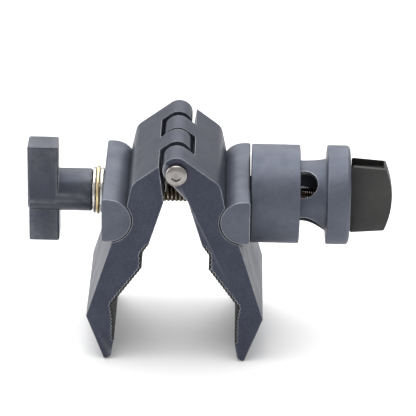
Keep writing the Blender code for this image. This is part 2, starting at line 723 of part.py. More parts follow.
def clamp_screw(pivot):
    """Screw that the knob drives down on the stud."""
    start = CLAMP_TIP_X
    end = KNOB_X + 7.5
    smooth = FLANGE_X + 1.0
    points = [(0, end), (CLAMP_D / 2 - 0.3, end), (CLAMP_D / 2, end - 0.3)]
    points += [(CLAMP_D / 2, smooth + 0.4)]
    thread = threaded(CLAMP_D / 2, CLAMP_PITCH, start, smooth, 0.38)[1:]
    points += thread + [(CLAMP_D / 2 - 0.38, start), (0, start)]
    solid = turned("clamp_screw", [(r, d - KNOB_X) for r, d in points], 16, PARTS)
    return finish(solid, (0.6, 0.58, 0.54), 0.2, 1.0, pivot)


def clamp_tip(pivot):
    """Soft tip ahead of the clamp screw, which doesn't turn with it."""
    r = CLAMP_D / 2 - 0.5
    profile = [(0, TIP_L), (r, TIP_L), (r, 0.4), (r - 0.4, 0), (0, 0)]
    solid = turned("clamp_screw_tip", profile, 20, PARTS, x=CLAMP_TIP_X - 0.2 - TIP_L - KNOB_X)
    return finish(solid, (0.55, 0.4, 0.16), 0.3, 1.0, pivot)


def clamp_knob(pivot):
    """Tapered knob with two flats, a domed end and hollowed narrow faces."""
    r = KNOB_D / 2
    e = KNOB_END_D / 2
    top = KNOB_L + KNOB_DOME
    dome = []
    for i in range(5):
        part = i / 4
        dome.append((e * 0.93 * part, top - KNOB_DOME * part * part))
    profile = dome + [(e * 0.985, KNOB_L - 0.25), (e, KNOB_L - 0.9), (r, 0.5), (r - 0.5, 0), (0, 0)]
    solid = turned("clamp_knob", profile, 48, PARTS)
    low = (KNOB_X - 2, -KNOB_T / 2, BAR_Z - KNOB_D)
    high = (KNOB_X + top + 2, KNOB_T / 2, BAR_Z + KNOB_D)
    slab = block("knob_flats", low, high, CUTTERS)
    cut(solid, place(slab, 0, 0), "INTERSECT")
    inner = KNOB_END_D / 2 - KNOB_HOLLOW
    for end, sign in (("upper", 1), ("lower", -1)):
        span = sorted((BAR_Z + sign * inner, BAR_Z + sign * KNOB_D))
        low = (KNOB_X - 2, KNOB_WALL - KNOB_T / 2, span[0])
        high = (KNOB_X + KNOB_L - KNOB_RIM, KNOB_T / 2 - KNOB_WALL, span[1])
        hollow = block(f"knob_hollow_{end}", low, high, CUTTERS)
        cut(solid, place(hollow, 0, 0))
    bore = rod_along("knob_bore", CLAMP_D / 2 + 0.3, 9.8, 24, "X", KNOB_X - 2.0, 0, BAR_Z)
    cut(solid, place(bore, 0, 0))
    return finish(solid, (0.055, 0.054, 0.052), 0.5, 0.0, pivot)


def build():
    root = make_empty("super_clamp", 0, 0)
    right_bar_axis = make_empty("right_bar_axis", BAR_X, BAR_Z, root)
    hinge_axis = make_empty("hinge_axis", 0, 0, right_bar_axis)
    left_bar_axis = make_empty("left_bar_axis", -BAR_X, BAR_Z, hinge_axis)
    screw_axis = make_empty("screw_axis", HANDLE_X, BAR_Z, left_bar_axis)
    post_axis = make_empty("post_axis", COLLAR_X + POST_START, BAR_Z, root)
    knob_axis = make_empty("knob_axis", KNOB_X, BAR_Z, post_axis)

    jaw("right_jaw", 1, right_bar_axis)
    pad("right_pad", 1, right_bar_axis)
    jaw("left_jaw", -1, hinge_axis)
    pad("left_pad", -1, hinge_axis)
    hinge_screw(hinge_axis)
    hinge_nut(hinge_axis)
    hinge_spring("hinge_spring_front", -1, hinge_axis)
    hinge_spring("hinge_spring_back", 1, hinge_axis)

    bar("left_bar", -1, left_bar_axis)
    right = bar("right_bar", 1, right_bar_axis)
    for name, y in (("collar_screw_front", -COLLAR_SCREW_Y), ("collar_screw_back", COLLAR_SCREW_Y)):
        collar_screw_holes(right, y)
        collar_screw(name, y, right_bar_axis)
    collar(right_bar_axis)

    thrust_washer("inner_washer", 0, (0.6, 0.58, 0.55), 0.25, left_bar_axis)
    thrust_washer("brass_washer", 1, (0.5, 0.42, 0.18), 0.3, left_bar_axis)
    thrust_washer("outer_washer", 2, (0.6, 0.58, 0.55), 0.2, left_bar_axis)
    main_screw(screw_axis)
    t_handle(screw_axis)
    handle_set_screw(screw_axis)

    receiver_post(post_axis)
    retaining_ring(post_axis)
    clamp_knob(knob_axis)
    clamp_screw(knob_axis)
    clamp_tip(knob_axis)


clear_objects()
PARTS = new_collection("super_clamp")
CUTTERS = new_collection("cutters")
WHERE = {}
build()
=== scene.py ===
import json
from math import cos, pi, radians, sin, sqrt

import bmesh
import bpy
from mathutils import Matrix, Quaternion, Vector


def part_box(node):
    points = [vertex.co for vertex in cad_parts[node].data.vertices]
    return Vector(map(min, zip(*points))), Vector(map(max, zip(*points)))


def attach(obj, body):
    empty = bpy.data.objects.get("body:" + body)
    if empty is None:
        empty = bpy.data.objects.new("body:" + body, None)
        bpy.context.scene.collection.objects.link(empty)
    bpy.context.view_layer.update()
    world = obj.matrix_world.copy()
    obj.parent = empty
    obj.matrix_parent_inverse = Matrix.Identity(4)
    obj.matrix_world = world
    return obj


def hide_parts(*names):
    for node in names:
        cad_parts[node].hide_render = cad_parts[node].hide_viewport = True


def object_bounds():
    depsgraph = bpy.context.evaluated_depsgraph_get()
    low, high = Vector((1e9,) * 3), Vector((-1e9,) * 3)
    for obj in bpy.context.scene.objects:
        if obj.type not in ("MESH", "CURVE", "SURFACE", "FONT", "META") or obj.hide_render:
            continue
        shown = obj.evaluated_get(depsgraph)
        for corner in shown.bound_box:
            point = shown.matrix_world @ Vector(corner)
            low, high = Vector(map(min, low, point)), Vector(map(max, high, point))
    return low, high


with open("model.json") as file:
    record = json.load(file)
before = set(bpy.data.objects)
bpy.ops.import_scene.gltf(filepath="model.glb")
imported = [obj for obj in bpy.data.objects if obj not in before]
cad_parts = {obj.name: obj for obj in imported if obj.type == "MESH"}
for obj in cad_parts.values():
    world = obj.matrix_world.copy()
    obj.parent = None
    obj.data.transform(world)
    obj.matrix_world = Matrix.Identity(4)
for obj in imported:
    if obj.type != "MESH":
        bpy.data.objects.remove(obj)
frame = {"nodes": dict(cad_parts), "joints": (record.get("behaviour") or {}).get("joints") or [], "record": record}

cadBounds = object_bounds()   # the box round all the imported parts; the box everything has to stay inside
mm = 0.001
skin = 0.02               # how far most shown surfaces stay inside the CAD ones, in millimetres
thinSkin = 0.01           # the same for small and thin pieces

# Where things turn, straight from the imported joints
jointAt = {j["name"]: Vector(j["pos_m"]) for j in frame["joints"] if "pos_m" in j}
hingeAt = jointAt["jaw_hinge"]
rightBarAt = jointAt["right_jaw_swing"]
handleAt = jointAt["handle_turn"]
knobAt = jointAt["knob_turn"]


# Small node helpers

def addNode(tree, kind, **values):
    node = tree.nodes.new(kind)
    for key, value in values.items():
        if key.startswith("in_"):
            node.inputs[key[3:].replace("_", " ")].default_value = value
        else:
            setattr(node, key, value)
    return node


def newGroup(name, inputs, outputs):
    group = bpy.data.node_groups.new(name, "ShaderNodeTree")
    for label, kind, value in inputs:
        socket = group.interface.new_socket(name=label, in_out="INPUT", socket_type=kind)
        if value is not None:
            socket.default_value = value
    for label, kind in outputs:
        group.interface.new_socket(name=label, in_out="OUTPUT", socket_type=kind)
    start = group.nodes.new("NodeGroupInput")
    end = group.nodes.new("NodeGroupOutput")
    return group, start, end


def mathNode(tree, operation, a, b=None, clamp=False):
    node = addNode(tree, "ShaderNodeMath", operation=operation, use_clamp=clamp)
    for slot, value in enumerate((a, b)):
        if value is None:
            continue
        if isinstance(value, (int, float)):
            node.inputs[slot].default_value = value
        else:
            tree.links.new(value, node.inputs[slot])
    return node.outputs[0]


def mixColour(tree, mask, low, high, blend="MIX"):
    node = addNode(tree, "ShaderNodeMix", data_type="RGBA", blend_type=blend)
    if isinstance(mask, (int, float)):
        node.inputs[0].default_value = mask
    else:
        tree.links.new(mask, node.inputs[0])
    for slot, value in ((6, low), (7, high)):
        if isinstance(value, tuple):
            node.inputs[slot].default_value = (*value, 1)
        else:
            tree.links.new(value, node.inputs[slot])
    return node.outputs[2]


def spread(tree, value, low, high, toLow=0.0, toHigh=1.0):
    node = addNode(tree, "ShaderNodeMapRange", clamp=True)
    tree.links.new(value, node.inputs["Value"])
    for label, amount in (("From Min", low), ("From Max", high), ("To Min", toLow), ("To Max", toHigh)):
        if isinstance(amount, (int, float)):
            node.inputs[label].default_value = amount
        else:
            tree.links.new(amount, node.inputs[label])
    return node.outputs["Result"]


# Finishes shared by several materials

def makeBlastedGrain():
    group, start, end = newGroup("blastedGrain", [
        ("Grain", "NodeSocketFloat", 5200.0), ("Cloud", "NodeSocketFloat", 70.0)],
        [("Height", "NodeSocketFloat"), ("Tone", "NodeSocketFloat"), ("Cloud", "NodeSocketFloat")])
    where = addNode(group, "ShaderNodeTexCoord")
    pits = addNode(group, "ShaderNodeTexNoise", in_Detail=3.0, in_Roughness=0.62)
    coarse = addNode(group, "ShaderNodeTexNoise", in_Detail=2.0, in_Roughness=0.5)
    cloud = addNode(group, "ShaderNodeTexNoise", in_Detail=4.0, in_Roughness=0.55, in_Distortion=0.4)
    for node in (pits, coarse, cloud):
        group.links.new(where.outputs["Object"], node.inputs["Vector"])
    group.links.new(start.outputs["Grain"], pits.inputs["Scale"])
    group.links.new(mathNode(group, "MULTIPLY", start.outputs["Grain"], 0.22), coarse.inputs["Scale"])
    group.links.new(start.outputs["Cloud"], cloud.inputs["Scale"])
    mix = mathNode(group, "MULTIPLY", coarse.outputs["Fac"], 0.45)
    height = mathNode(group, "ADD", pits.outputs["Fac"], mix)
    group.links.new(height, end.inputs["Height"])
    group.links.new(spread(group, pits.outputs["Fac"], 0.3, 0.7), end.inputs["Tone"])
    group.links.new(spread(group, cloud.outputs["Fac"], 0.32, 0.68), end.inputs["Cloud"])
    return group


def makeEdgeMask():
    group, start, end = newGroup("edgeMask", [
        ("Width", "NodeSocketFloat", 0.0005), ("Break", "NodeSocketFloat", 600.0),
        ("Strength", "NodeSocketFloat", 4.0)], [("Mask", "NodeSocketFloat")])
    soft = addNode(group, "ShaderNodeBevel", samples=6)
    group.links.new(start.outputs["Width"], soft.inputs["Radius"])
    face = addNode(group, "ShaderNodeNewGeometry")
    dot = addNode(group, "ShaderNodeVectorMath", operation="DOT_PRODUCT")
    group.links.new(soft.outputs["Normal"], dot.inputs[0])
    group.links.new(face.outputs["True Normal"], dot.inputs[1])
    bend = mathNode(group, "SUBTRACT", 1.0, dot.outputs["Value"])
    bend = mathNode(group, "MULTIPLY", bend, start.outputs["Strength"], clamp=True)
    where = addNode(group, "ShaderNodeTexCoord")
    patch = addNode(group, "ShaderNodeTexNoise", in_Detail=3.0)
    group.links.new(where.outputs["Object"], patch.inputs["Vector"])
    group.links.new(start.outputs["Break"], patch.inputs["Scale"])
    patchy = spread(group, patch.outputs["Fac"], 0.25, 0.62, 0.35, 1.0)
    group.links.new(mathNode(group, "MULTIPLY", bend, patchy), end.inputs["Mask"])
    return group


def makeHandling():
    group, start, end = newGroup("handlingMarks", [
        ("Smudge", "NodeSocketFloat", 45.0), ("Scratch", "NodeSocketFloat", 260.0)],
        [("Smudge", "NodeSocketFloat"), ("Scratch", "NodeSocketFloat")])
    where = addNode(group, "ShaderNodeTexCoord")
    smudge = addNode(group, "ShaderNodeTexNoise", in_Detail=5.0, in_Roughness=0.6, in_Distortion=1.2)
    group.links.new(where.outputs["Object"], smudge.inputs["Vector"])
    group.links.new(start.outputs["Smudge"], smudge.inputs["Scale"])
    turn = addNode(group, "ShaderNodeMapping")
    turn.inputs["Rotation"].default_value = (0.5, 0.35, 0.9)
    turn.inputs["Scale"].default_value = (1.0, 0.06, 1.0)
    group.links.new(where.outputs["Object"], turn.inputs["Vector"])
    line = addNode(group, "ShaderNodeTexNoise", in_Detail=2.0, in_Roughness=0.7, in_Distortion=0.15)
    group.links.new(turn.outputs["Vector"], line.inputs["Vector"])
    group.links.new(start.outputs["Scratch"], line.inputs["Scale"])
    group.links.new(spread(group, smudge.outputs["Fac"], 0.35, 0.7), end.inputs["Smudge"])
    group.links.new(spread(group, line.outputs["Fac"], 0.68, 0.74), end.inputs["Scratch"])
    return group


def makeLatheLines():
    # Fine turning marks round an axis that runs along X or Y through Centre
    group, start, end = newGroup("latheLines", [
        ("Centre", "NodeSocketVector", (0, 0, 0)), ("Along", "NodeSocketVector", (1, 0, 0)),
        ("Lines", "NodeSocketFloat", 4200.0)],
        [("Height", "NodeSocketFloat"), ("Tone", "NodeSocketFloat"), ("Radius", "NodeSocketFloat")])
    where = addNode(group, "ShaderNodeTexCoord")
    off = addNode(group, "ShaderNodeVectorMath", operation="SUBTRACT")
    group.links.new(where.outputs["Object"], off.inputs[0])
    group.links.new(start.outputs["Centre"], off.inputs[1])
    along = addNode(group, "ShaderNodeVectorMath", operation="DOT_PRODUCT")
    group.links.new(off.outputs["Vector"], along.inputs[0])
    group.links.new(start.outputs["Along"], along.inputs[1])
    straight = addNode(group, "ShaderNodeVectorMath", operation="SCALE")
    group.links.new(start.outputs["Along"], straight.inputs[0])
    group.links.new(along.outputs["Value"], straight.inputs["Scale"])
    across = addNode(group, "ShaderNodeVectorMath", operation="SUBTRACT")
    group.links.new(off.outputs["Vector"], across.inputs[0])
    group.links.new(straight.outputs["Vector"], across.inputs[1])
    radius = addNode(group, "ShaderNodeVectorMath", operation="LENGTH")
    group.links.new(across.outputs["Vector"], radius.inputs[0])
    pair = addNode(group, "ShaderNodeCombineXYZ")
    group.links.new(along.outputs["Value"], pair.inputs[0])
    group.links.new(radius.outputs["Value"], pair.inputs[1])
    lines = addNode(group, "ShaderNodeTexNoise", in_Detail=2.0, in_Roughness=0.6)
    group.links.new(pair.outputs["Vector"], lines.inputs["Vector"])
    group.links.new(start.outputs["Lines"], lines.inputs["Scale"])
    group.links.new(lines.outputs["Fac"], end.inputs["Height"])
    group.links.new(spread(group, lines.outputs["Fac"], 0.35, 0.65), end.inputs["Tone"])
    group.links.new(radius.outputs["Value"], end.inputs["Radius"])
    return group


blastedGrain = makeBlastedGrain()
edgeMask = makeEdgeMask()
handlingMarks = makeHandling()
latheLines = makeLatheLines()
print("shared finishes ready")


def place(tree, group, **values):
    node = addNode(tree, "ShaderNodeGroup", node_tree=group)
    for key, value in values.items():
        node.inputs[key].default_value = value
    return node


def startMaterial(name, shown):
    material = bpy.data.materials.new(name)
    material.use_nodes = True
    material.diffuse_color = (*shown, 1)
    tree = material.node_tree
    return material, tree, tree.nodes["Principled BSDF"]


def addBump(tree, shader, height, strength, distance):
    bump = addNode(tree, "ShaderNodeBump")
    bump.inputs["Strength"].default_value = strength
    bump.inputs["Distance"].default_value = distance
    tree.links.new(height, bump.inputs["Height"])
    tree.links.new(bump.outputs["Normal"], shader.inputs["Normal"])


# Materials

alongX, alongY = (1, 0, 0), (0, 1, 0)
anodised = {
    "colour": (0.084, 0.093, 0.122),      # blue-grey dye
    "deep": (0.056, 0.064, 0.090),
    "rim": (0.50, 0.51, 0.53),            # lighter rim colour: partly metal showing through on worn rims, partly painted highlight along the edges
    "metallic": 0.55, "specular": 0.40,
    "roughness": (0.42, 0.54),
    "rimRoughness": 0.30,
    "grain": 2400.0, "cloud": 110.0, "fleck": 0.06,
    "rimWidth": 0.0005, "rimStrength": 6.0, "rimBreak": 420.0, "rimShare": 0.8,
    "smudge": 38.0, "scratch": 210.0,
    "bump": 0.22, "bumpDepth": 0.00004,
}
jawLook = {
    **anodised, "colour": (0.030, 0.035, 0.058), "deep": (0.022, 0.026, 0.045),
    "roughness": (0.38, 0.50), "specular": 0.30,
}
handleLook = {
    **anodised, "colour": (0.030, 0.034, 0.052), "deep": (0.023, 0.027, 0.041),
    "roughness": (0.26, 0.38), "specular": 0.28,
}


def makeAnodised(name, look):
    material, tree, shader = startMaterial(name, look["colour"])
    grain = place(tree, blastedGrain, Grain=look["grain"], Cloud=look["cloud"])
    marks = place(tree, handlingMarks, Smudge=look["smudge"], Scratch=look["scratch"])
    edgeFactor = place(tree, edgeMask, Width=look["rimWidth"], Strength=look["rimStrength"], Break=look["rimBreak"])
    dye = mixColour(tree, grain.outputs["Cloud"], look["deep"], look["colour"])
    fleck = mixColour(tree, mathNode(tree, "MULTIPLY", grain.outputs["Tone"], look["fleck"]), dye, look["rim"])
    # The rim colour mixed in along the edges is partly wear showing bare metal and partly a painted highlight on the
    # edges
    colour = mixColour(tree, mathNode(tree, "MULTIPLY", edgeFactor.outputs["Mask"], look["rimShare"]), fleck, look["rim"])
    tree.links.new(colour, shader.inputs["Base Color"])
    low, high = look["roughness"]
    rough = spread(tree, marks.outputs["Smudge"], 0.0, 1.0, high, low)
    smoother = mathNode(tree, "MULTIPLY", edgeFactor.outputs["Mask"], high - look["rimRoughness"])
    rough = mathNode(tree, "SUBTRACT", rough, smoother)
    rough = mathNode(tree, "ADD", rough, mathNode(tree, "MULTIPLY", grain.outputs["Tone"], 0.05), clamp=True)
    tree.links.new(rough, shader.inputs["Roughness"])
    shader.inputs["Metallic"].default_value = look["metallic"]
    shader.inputs["Specular IOR Level"].default_value = look["specular"]
    addBump(tree, shader, grain.outputs["Height"], look["bump"], look["bumpDepth"])
    return material


steel = {
    "colour": (0.30, 0.285, 0.275), "dark": (0.08, 0.068, 0.060),
    "roughness": (0.07, 0.20), "lines": 3600.0, "bump": 0.10,
}
brass = {
    "colour": (0.66, 0.54, 0.31), "dark": (0.24, 0.17, 0.08),
    "roughness": (0.16, 0.34), "lines": 3000.0, "bump": 0.12,
}
blackOxide = {
    "colour": (0.035, 0.034, 0.034), "dark": (0.012, 0.012, 0.012),
    "roughness": (0.30, 0.48), "lines": 2600.0, "bump": 0.08,
}
washerSteel = {
    "colour": (0.66, 0.65, 0.63), "dark": (0.10, 0.085, 0.07),
    "roughness": (0.12, 0.30), "lines": 2600.0, "bump": 0.15,
}


def makeSteel(name, look, centre, along, stain=0.25):
    material, tree, shader = startMaterial(name, look["colour"])
    lines = place(tree, latheLines, Centre=centre, Along=along, Lines=look["lines"])
    marks = place(tree, handlingMarks, Smudge=260.0, Scratch=900.0)
    tone = mathNode(tree, "MULTIPLY", lines.outputs["Tone"], 0.25)
    tone = mathNode(tree, "ADD", tone, mathNode(tree, "MULTIPLY", marks.outputs["Smudge"], stain), clamp=True)
    tree.links.new(mixColour(tree, tone, look["colour"], look["dark"]), shader.inputs["Base Color"])
    low, high = look["roughness"]
    tree.links.new(spread(tree, marks.outputs["Smudge"], 0.0, 1.0, low, high), shader.inputs["Roughness"])
    shader.inputs["Metallic"].default_value = 1.0
    addBump(tree, shader, lines.outputs["Height"], look["bump"], 0.00002)
    return material


# root is the colour of the painted shade in the thread roots; crest is the colour of a painted highlight that is
# partly crest wear
thread = {
    "crest": (0.74, 0.68, 0.58), "flank": (0.30, 0.23, 0.16), "root": (0.018, 0.013, 0.010),
    "roughness": (0.22, 0.5), "lines": 3000.0, "grit": 900.0,
}
brightThread = {
    "crest": (0.62, 0.60, 0.57), "flank": (0.22, 0.17, 0.12), "root": (0.04, 0.03, 0.025),
    "roughness": (0.14, 0.34), "lines": 3000.0, "grit": 500.0,
}


def makeThread(name, look, centre, rootRadius, crestRadius):
    # Painted highlight on the bright crests, partly also crest wear, over painted shade in the dark roots
    material, tree, shader = startMaterial(name, look["crest"])
    lines = place(tree, latheLines, Centre=centre, Along=alongX, Lines=look["lines"])
    marks = place(tree, handlingMarks, Smudge=look["grit"], Scratch=1400.0)
    high = spread(tree, lines.outputs["Radius"], rootRadius, crestRadius)
    # Darker towards the root radius: painted shade in the thread roots
    paintedRootShade = mixColour(tree, spread(tree, high, 0.05, 0.6), look["root"], look["flank"])
    # Crest mask: the crests are lightened as a painted highlight, partly also crest wear
    crestWearAndHighlight = spread(tree, high, 0.55, 0.95)
    # worn carries the crest brightening, part painted highlight and part wear, and is held back where the smudge noise
    # is high
    worn = mathNode(tree, "MULTIPLY", crestWearAndHighlight, spread(tree, marks.outputs["Smudge"], 0.9, 0.1, 0.55, 1.0))
    tree.links.new(mixColour(tree, worn, paintedRootShade, look["crest"]), shader.inputs["Base Color"])
    low, top = look["roughness"]
    tree.links.new(spread(tree, worn, 0.0, 1.0, top, low), shader.inputs["Roughness"])
    shader.inputs["Metallic"].default_value = 1.0
    addBump(tree, shader, lines.outputs["Height"], 0.12, 0.00003)
    return material


rubber = {
    "colour": (0.006, 0.006, 0.0065), "dust": (0.022, 0.021, 0.020), "roughness": (0.70, 0.9),
}


def makeRubber(name, look):
    material, tree, shader = startMaterial(name, look["colour"])
    grain = place(tree, blastedGrain, Grain=3200.0, Cloud=120.0)
    edgeFactor = place(tree, edgeMask, Width=0.0003, Strength=2.0, Break=900.0)
    dusty = mathNode(tree, "MULTIPLY", grain.outputs["Cloud"], 0.35)
    dusty = mathNode(tree, "ADD", dusty, mathNode(tree, "MULTIPLY", edgeFactor.outputs["Mask"], 0.6), clamp=True)
    tree.links.new(mixColour(tree, dusty, look["colour"], look["dust"]), shader.inputs["Base Color"])
    low, high = look["roughness"]
    tree.links.new(spread(tree, grain.outputs["Tone"], 0.0, 1.0, low, high), shader.inputs["Roughness"])
    shader.inputs["Metallic"].default_value = 0.0
    addBump(tree, shader, grain.outputs["Height"], 0.3, 0.00006)
    return material


knobLook = {
    "colour": (0.008, 0.008, 0.0078), "worn": (0.07, 0.069, 0.064),
    "roughness": (0.40, 0.55), "specular": 0.40,
}


def makeKnobPlastic(name, look):
    material, tree, shader = startMaterial(name, look["colour"])
    grain = place(tree, blastedGrain, Grain=2600.0, Cloud=90.0)
    marks = place(tree, handlingMarks, Smudge=60.0, Scratch=300.0)
    edgeFactor = place(tree, edgeMask, Width=0.0006, Strength=3.0, Break=350.0)
    worn = mathNode(tree, "MULTIPLY", edgeFactor.outputs["Mask"], 0.75)
    worn = mathNode(tree, "ADD", worn, mathNode(tree, "MULTIPLY", marks.outputs["Scratch"], 0.12), clamp=True)
    base = mixColour(tree, mathNode(tree, "MULTIPLY", grain.outputs["Cloud"], 0.18), look["colour"], look["worn"])
    tree.links.new(mixColour(tree, worn, base, look["worn"]), shader.inputs["Base Color"])
    low, high = look["roughness"]
    tree.links.new(spread(tree, marks.outputs["Smudge"], 0.0, 1.0, high, low), shader.inputs["Roughness"])
    shader.inputs["Metallic"].default_value = 0.0
    shader.inputs["Specular IOR Level"].default_value = look["specular"]
    addBump(tree, shader, grain.outputs["Height"], 0.22, 0.00005)
    return material


bodyMetal = makeAnodised("anodisedBlueGrey", anodised)
jawMetal = makeAnodised("anodisedJaw", jawLook)
handleMetal = makeAnodised("anodisedHandle", handleLook)
screwSteel = makeSteel("polishedScrewSteel", steel, tuple(hingeAt), alongY)
springSteel = makeSteel("springWire", steel, tuple(hingeAt), alongY, 0.15)
washerFinish = makeSteel("turnedWasherSteel", washerSteel, tuple(handleAt), alongX, 0.55)
brassFinish = makeSteel("turnedBrass", brass, tuple(handleAt), alongX, 0.4)
ringFinish = makeSteel("ringSteel", washerSteel, tuple(handleAt), alongX, 0.5)
capScrewFinish = makeSteel("blackOxideSteel", blackOxide, tuple(handleAt), alongX, 0.3)
padRubber = makeRubber("ribbedPadRubber", rubber)
knobPlastic = makeKnobPlastic("mouldedKnobPlastic", knobLook)
print("materials ready")


# Mesh helpers, all sizes in millimetres

def toMesh(shape, name, smoothAngle=32):
    bmesh.ops.recalc_face_normals(shape, faces=shape.faces)
    mesh = bpy.data.meshes.new(name)
    shape.to_mesh(mesh)
    shape.free()
    for polygon in mesh.polygons:
        polygon.use_smooth = True
    mesh.set_sharp_from_angle(angle=radians(smoothAngle))
    return mesh


def roundCorners(points, radius, steps=4, closed=False):
    out = []
    count = len(points)
    for i, point in enumerate(points):
        if not closed and i in (0, count - 1):
            out.append(point)
            continue
        here = Vector(point)
        before = Vector(points[i - 1]) - here
        after = Vector(points[(i + 1) % count]) - here
        turn = before.angle(after, pi)
        if turn > radians(168):
            out.append(point)
            continue
        reach = min(radius / max(0.2, sin(turn / 2)) * cos(turn / 2), before.length * 0.45, after.length * 0.45)
        a, b = here + before.normalized() * reach, here + after.normalized() * reach
        for step in range(steps + 1):
            t = step / steps
            out.append(tuple(a * (1 - t) ** 2 + here * 2 * t * (1 - t) + b * t ** 2))
    return out


def lathe(profile, steps, at, axis="X", closed=False):
    shape = bmesh.new()
    rings = []
    for radius, along in profile:
        if radius < 1e-6:
            rings.append([shape.verts.new(lathePoint(0, along, 0, at, axis))])
        else:
            turns = [2 * pi * i / steps for i in range(steps)]
            rings.append([shape.verts.new(lathePoint(radius, along, turn, at, axis)) for turn in turns])
    pairs = list(zip(rings, rings[1:]))
    if closed:
        pairs.append((rings[-1], rings[0]))
    for a, b in pairs:
        for i in range(steps):
            j = (i + 1) % steps
            corners = [a[i % len(a)], a[j % len(a)], b[j % len(b)], b[i % len(b)]]
            unique = [v for k, v in enumerate(corners) if v not in corners[:k]]
            if len(unique) > 2:
                shape.faces.new(unique)
    return shape


def lathePoint(radius, along, angle, at, axis):
    u, v = radius * cos(angle) * mm, radius * sin(angle) * mm
    if axis == "X":
        return at + Vector((along * mm, u, v))
    return at + Vector((u, along * mm, v))


def prism(points, start, end, at, axis="X"):
    shape = bmesh.new()
    caps = []
    for along in (start, end):
        if axis == "X":
            caps.append([shape.verts.new(at + Vector((along, u, v)) * mm) for u, v in points])
        else:
            caps.append([shape.verts.new(at + Vector((u, along, v)) * mm) for u, v in points])
    shape.faces.new(caps[0])
    shape.faces.new(caps[1][::-1])
    for i in range(len(points)):
        j = (i + 1) % len(points)
        shape.faces.new((caps[0][i], caps[0][j], caps[1][j], caps[1][i]))
    return shape


def hexagon(acrossFlats, turn=0.0):
    r = acrossFlats / sqrt(3)
    return [(r * cos(radians(60 * i + turn)), r * sin(radians(60 * i + turn))) for i in range(6)]


def carve(piece, tools, operation="DIFFERENCE", smoothAngle=32):
    for i, tool in enumerate(tools):
        bpy.context.scene.collection.objects.link(tool)
        cutter = piece.modifiers.new(f"cut{i}", "BOOLEAN")
        cutter.solver = "EXACT"
        cutter.operation = operation
        cutter.object = tool
    bpy.context.view_layer.update()
    result = bpy.data.meshes.new_from_object(piece.evaluated_get(bpy.context.evaluated_depsgraph_get()))
    piece.modifiers.clear()
    old = piece.data
    piece.data = result
    bpy.data.meshes.remove(old)
    for tool in tools:
        bpy.data.objects.remove(tool, do_unlink=True)
    for polygon in piece.data.polygons:
        polygon.use_smooth = True
    piece.data.set_sharp_from_angle(angle=radians(smoothAngle))


def toolFrom(shape, name):
    return bpy.data.objects.new(name, toMesh(shape, name))


def softenEdges(piece, width, segments=2, angle=40):
    bevel = piece.modifiers.new("softEdges", "BEVEL")
    bevel.width = width * mm
    bevel.segments = segments
    bevel.limit_method = "ANGLE"
    bevel.angle_limit = radians(angle)
    bevel.miter_outer = "MITER_ARC"
    bevel.harden_normals = True
    bevel.use_clamp_overlap = True


def linkNew(name, mesh):
    piece = bpy.data.objects.new(name, mesh)
    bpy.context.scene.collection.objects.link(piece)
    return piece


def finishPiece(piece, body, material, node):
    piece.data.materials.clear()
    piece.data.materials.append(material)
    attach(piece, body)
    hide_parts(node)
    return piece


def addPiece(name, mesh, body, material, node):
    return finishPiece(linkNew(name, mesh), body, material, node)


def tubeBand(rings, shape):
    # Faces between neighbouring rings of points, and a cap on each end
    for a, b in zip(rings, rings[1:]):
        for k in range(len(a)):
            j = (k + 1) % len(a)
            shape.faces.new((a[k], a[j], b[j], b[k]))
    shape.faces.new(rings[0][::-1])
    shape.faces.new(rings[-1])


def cleanCopy(node, flat=0.6):
    shape = bmesh.new()
    shape.from_mesh(frame["nodes"][node].data)
    bmesh.ops.remove_doubles(shape, verts=shape.verts, dist=2e-6)
    bmesh.ops.dissolve_limit(shape, angle_limit=radians(flat), verts=shape.verts, edges=shape.edges)
    mesh = toMesh(shape, node + "Shell")
    for layer in [a.name for a in mesh.attributes if "normal" in a.name.lower()]:
        mesh.attributes.remove(mesh.attributes[layer])
    return mesh


# Machined aluminium

machined = {
    "edge": 0.22,           # broken edge on the cut faces
    "handleEdge": 0.30,
    "steps": 112,           # facets round the turned pieces
}

bodies = {node: body for body, nodes in frame["record"]["behaviour"]["bodies"].items() for node in nodes}
for node, name, slotName, finish in (
        ("left_jaw", "jawLeft", "jaw", jawMetal), ("right_jaw", "jawRight", "jaw", jawMetal),
        ("left_bar", "trunnionLeft", "bar", bodyMetal), ("right_bar", "trunnionRight", "bar", bodyMetal)):
    piece = addPiece(name, cleanCopy(node), bodies[node], finish, node)
    softenEdges(piece, machined["edge"], 2, 52)
piece = addPiece("teeHandle", cleanCopy("t_handle"), "handle", handleMetal, "t_handle")
softenEdges(piece, machined["handleEdge"], 2, 40)
for node, name in (("left_pad", "padLeft"), ("right_pad", "padRight")):
    addPiece(name, cleanCopy(node), bodies[node], padRubber, node)
print("jaws, bars, handle and pads ready")


# Receiver: fixed collar and sliding, swivelling post

collar = {
    "bore": 4.9, "floor": 3.6, "mouthGap": 0.25, "chamberGap": 2.65, "rim": 0.55,
    "stop": 3.2,            # land at the mouth that stops the ring
}
post = {
    "neck": 12.5, "flange": 18.45, "flangeLength": 8.6, "neckShown": 9.9, "lead": 1.3, "innerEnd": 4.3,
    "edge": 1.9, "flare": 1.5, "clampHole": 5.5, "screwBore": 9.4, "holeEdge": 0.32,
    "groove": (5.25, 6.95), "grooveDepth": 1.2, "faceRim": 0.6, "flareRim": 0.8,
    "studHole": 16.6, "studTilt": -60.0, "studFloor": 7.5,      # blind, towards the front and down
    "spigotHole": 10.4, "spigotTilt": 43.0,
}

low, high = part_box("receiver_collar")
collarAt = Vector((low.x, 0, rightBarAt.z))
collarRadius = (high.z - low.z) / 2 / mm
collarLength = (high.x - low.x) / mm
flangeX = collarLength + post["neckShown"]
postEnd = flangeX + post["flangeLength"]
studX = collarLength + post["lead"]


